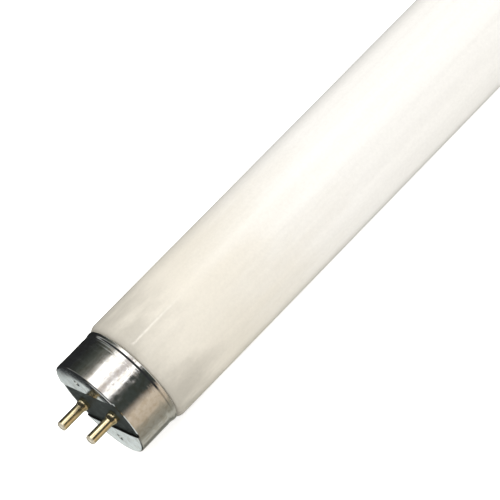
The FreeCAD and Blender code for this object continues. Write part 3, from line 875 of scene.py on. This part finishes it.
def room_seen(studio, look):
    """Colour that metal and glass mirror in each direction: a soft box overhead in a dim room."""
    along, across, up = studio.parts(look)
    # Angle about the tube: 0 at the front horizon, a quarter turn up is overhead
    angle = studio.math("ARCTAN2", up, studio.math("MULTIPLY", across, -1.0))
    clutter = studio.noise(look, scale=9.0)
    turn = studio.math("ADD", studio.math("DIVIDE", angle, 2 * math.pi), 0.5)
    turn = studio.math("ADD", turn, studio.remap(clutter, 0.3, 0.7, -0.015, 0.015))
    ramp = studio.add("ShaderNodeValToRGB")
    studio.feed(ramp.inputs["Fac"], turn)
    elements = ramp.color_ramp.elements
    while len(elements) < len(ROOM_BANDS):
        elements.new(0.5)
    for element, (degrees, colour) in zip(elements, ROOM_BANDS):
        element.position = degrees / 360 + 0.5
        element.color = (*colour, 1.0)

    # A pale glow overhead, on both sides of the soft box
    overhead = studio.band(angle, in_radians(70, 92), in_radians(152, 138))
    away = studio.band(along, (0.33, 0.45), (0.6, 0.5))
    aside = studio.math("MAXIMUM", studio.remap(along, 0.1, -0.03), away)
    glow = studio.math("MULTIPLY", studio.math("MULTIPLY", aside, overhead), GLOW_SHARE)
    seen = studio.mix(glow, ramp.outputs["Color"], ROOM_PALE)

    # Past the near end of the tube the room is dark down to the table, with a pale card at either end
    table = studio.band(angle, in_radians(-132, -115), in_radians(-18, -35))
    covered = studio.math("MULTIPLY", table, TABLE_SHARE)
    past = studio.math("SUBTRACT", studio.remap(along, -0.06, -0.16), covered)
    seen = studio.mix(studio.math("MAXIMUM", past, 0.0), seen, ROOM_DARK)
    seen = studio.mix(studio.remap(along, -0.86, -0.93), seen, ROOM_PALE)
    front = studio.band(angle, in_radians(-40, -10), in_radians(118, 100))
    seen = studio.mix(studio.math("MULTIPLY", studio.remap(along, 0.52, 0.7), front), seen, ROOM_PALE)

    # A small lamp over the near end, which leaves a short streak on the glass
    lamp = studio.math(
        "MULTIPLY", studio.band(along, (0.200, 0.212), (0.246, 0.230)),
        studio.band(angle, in_radians(66.5, 69), in_radians(72.5, 70)))
    seen = studio.mix(lamp, seen, ROOM_LAMP)

    # A low screen behind the tube, which the cap faces mirror
    behind = studio.math(
        "ADD", studio.math("MULTIPLY", across, SCREEN_BACK), studio.math("MULTIPLY", up, -SCREEN_DOWN))
    sideways = studio.math(
        "ADD", studio.math("MULTIPLY", across, SCREEN_DOWN), studio.math("MULTIPLY", up, SCREEN_BACK))
    lean = studio.math("ARCTAN2", studio.math("MULTIPLY", along, -1.0), behind)
    edge = studio.math("ADD", lean, studio.math("MULTIPLY", sideways, math.radians(100)))
    near_edge = studio.remap(lean, *in_radians(1, 5))
    far_edge = studio.remap(edge, *in_radians(16.1, 14.3))
    breadth = studio.remap(studio.math("ABSOLUTE", sideways), 0.15, 0.07)
    screen = studio.math("MULTIPLY", near_edge, studio.math("MULTIPLY", far_edge, breadth))
    return studio.mix(screen, seen, studio.mix(clutter, SCREEN_DIM, SCREEN_BRIGHT))


def stage_world(stage):
    """White backdrop, even fill light, and a room for the reflections."""
    world = bpy.data.worlds.new("studio")
    bpy.context.scene.world = world
    world.use_nodes = True
    studio = NodeSketch(world.node_tree)
    look = studio.add("ShaderNodeTexCoord").outputs["Generated"]
    mirrored = studio.add("ShaderNodeBackground")
    studio.feed(mirrored.inputs["Color"], room_seen(studio, look))
    even = studio.add("ShaderNodeBackground")
    studio.feed(even.inputs["Color"], stage.fill_colour)
    across = studio.parts(look)[1]
    strength = studio.remap(across, 0.0, 1.0, stage.fill, stage.fill * FAR_FILL)
    studio.feed(even.inputs["Strength"], strength)
    backdrop = studio.add("ShaderNodeBackground")
    studio.feed(backdrop.inputs["Color"], (1.0, 1.0, 1.0))
    path = studio.add("ShaderNodeLightPath")
    shown = even.outputs["Background"]
    for ray, light in (("Is Glossy Ray", mirrored), ("Is Camera Ray", backdrop)):
        choice = studio.add("ShaderNodeMixShader")
        studio.feed(choice.inputs[0], path.outputs[ray])
        studio.feed(choice.inputs[1], shown)
        studio.feed(choice.inputs[2], light.outputs["Background"])
        shown = choice.outputs["Shader"]
    studio.feed(studio.add("ShaderNodeOutputWorld").inputs["Surface"], shown)


def stage_light(stage):
    """Large soft box above and a little in front of the tube."""
    data = bpy.data.lights.new("soft_box", "AREA")
    data.shape = "RECTANGLE"
    data.size = stage.key_length
    data.size_y = stage.key_width
    data.energy = stage.key_power
    data.color = stage.key_colour
    lamp = bpy.data.objects.new("soft_box", data)
    lamp.location = stage.key_place
    lamp.rotation_euler = (stage.key_tilt, 0.0, 0.0)
    lamp.visible_glossy = False
    lamp.visible_camera = False
    bpy.context.scene.collection.objects.link(lamp)


def stage_camera(stage):
    """Camera at the photograph's angle."""
    data = bpy.data.cameras.new("camera")
    data.sensor_width = SENSOR_WIDTH
    data.lens = stage.lens
    data.clip_start = 0.01
    data.clip_end = 100.0
    camera = bpy.data.objects.new("camera", data)
    place = Vector(stage.camera_place)
    look = Vector(stage.camera_aim) - place
    camera.rotation_mode = "QUATERNION"
    camera.location = place
    roll = Quaternion((0.0, 0.0, 1.0), stage.camera_roll)
    camera.rotation_quaternion = look.to_track_quat("-Z", "Y") @ roll
    bpy.context.scene.collection.objects.link(camera)
    bpy.context.scene.camera = camera


class TUBE_OT_stage(bpy.types.Operator):
    """Set up the floor, the light and the camera"""
    bl_idname = "tube.stage"
    bl_label = "Stage"

    def execute(self, context):
        stage = context.scene.tube_stage
        stage_floor(stage, CAD_BOX[0].z)
        stage_world(stage)
        stage_light(stage)
        stage_camera(stage)
        context.scene.view_settings.view_transform = "Standard"
        context.scene.view_settings.look = "None"
        return {"FINISHED"}


OPERATORS = (TUBE_OT_glass, TUBE_OT_caps, TUBE_OT_plates, TUBE_OT_pins, TUBE_OT_inner, TUBE_OT_stage)

SETTINGS = {
    "tube_glass": TubeGlassSettings,
    "tube_cap": TubeCapSettings,
    "tube_pin": TubePinSettings,
    "tube_inner": TubeInnerSettings,
    "tube_stage": TubeStageSettings,
}


class VIEW3D_PT_tube(bpy.types.Panel):
    """The steps that build the tube, and its sizes and colours"""
    bl_label = "Fluorescent Tube"
    bl_space_type = "VIEW_3D"
    bl_region_type = "UI"
    bl_category = "Tube"

    def draw(self, context):
        for operator in OPERATORS:
            self.layout.operator(operator.bl_idname)
        for name, group in SETTINGS.items():
            box = self.layout.box()
            box.label(text=group.__doc__)
            for setting in group.__annotations__:
                box.prop(getattr(context.scene, name), setting)


def register():
    for name, group in SETTINGS.items():
        bpy.utils.register_class(group)
        setattr(bpy.types.Scene, name, PointerProperty(type=group))
    for operator in OPERATORS:
        bpy.utils.register_class(operator)
    bpy.utils.register_class(VIEW3D_PT_tube)


def unregister():
    bpy.utils.unregister_class(VIEW3D_PT_tube)
    for operator in reversed(OPERATORS):
        bpy.utils.unregister_class(operator)
    for name, group in SETTINGS.items():
        delattr(bpy.types.Scene, name)
        bpy.utils.unregister_class(group)


def main():
    register()
    bpy.ops.tube.glass()
    bpy.ops.tube.caps()
    bpy.ops.tube.plates()
    bpy.ops.tube.pins()
    bpy.ops.tube.inner()
    bpy.ops.tube.stage()


if __name__ == "__main__":
    main()
